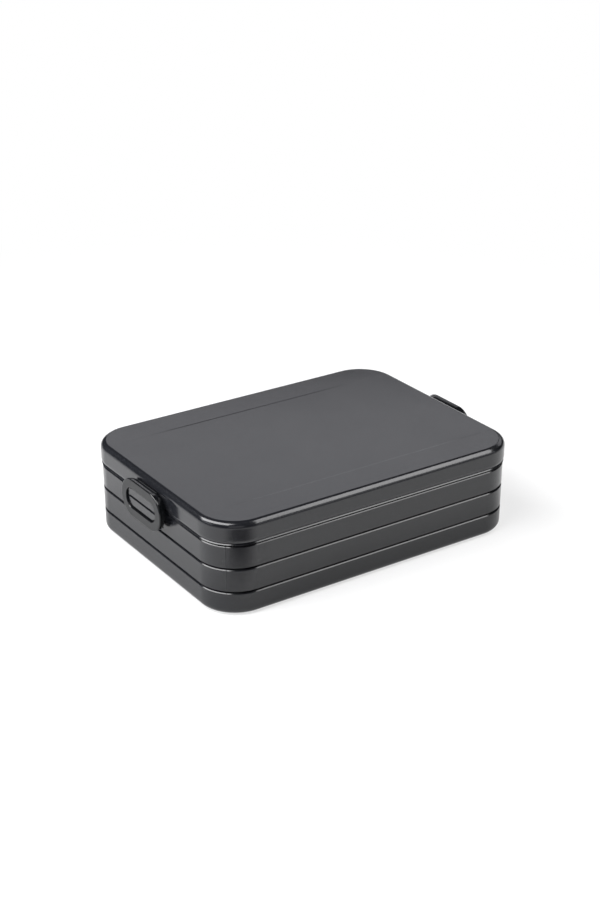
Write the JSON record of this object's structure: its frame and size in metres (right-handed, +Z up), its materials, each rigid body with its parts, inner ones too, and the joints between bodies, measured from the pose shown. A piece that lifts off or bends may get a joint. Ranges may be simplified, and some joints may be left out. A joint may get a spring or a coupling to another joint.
{
  "type": "lunch box",
  "caption": "Dark banded plastic lunch box with a cap lid, rounded corners and a hinged loop clip on each short end that holds the lid shut.",
  "frame": {"origin": "on the table, under the middle of the box", "axes": "+Z up, X along the box from the left clip to the right clip, -Y towards the long front side"},
  "size_m": [0.2544, 0.176, 0.065],
  "materials": {
    "body_plastic": "charcoal moulded ABS, half gloss",
    "clip_plastic": "charcoal moulded plastic, satin",
    "seal_silicone": "grey silicone, matt",
    "lip_rubber": "black soft rubber, matt",
    "pin_steel": "drawn steel wire"
  },
  "bodies": {
    "base": {"base_tub": "body_plastic"},
    "lid": {"lid_shell": "body_plastic", "lid_seal": "seal_silicone"},
    "left_latch": {"left_clip": "clip_plastic", "left_snap_lip": "lip_rubber", "left_hinge_pin": "pin_steel"},
    "right_latch": {"right_clip": "clip_plastic", "right_snap_lip": "lip_rubber", "right_hinge_pin": "pin_steel"}
  },
  "joints": [
    {"name": "lid_lift", "type": "slide", "parent": "base", "child": "lid", "axis": [0, 0, 1], "range_m": [0, 0.1], "deforming": ["left_snap_lip", "right_snap_lip"]},
    {"name": "left_clip_swing", "type": "hinge", "parent": "base", "child": "left_latch", "pos_m": [-0.1229, 0, 0.0387], "axis": [0, -1, 0], "range_deg": [0, 95]},
    {"name": "right_clip_swing", "type": "hinge", "parent": "base", "child": "right_latch", "pos_m": [0.1229, 0, 0.0387], "axis": [0, 1, 0], "range_deg": [0, 95]}
  ]
}
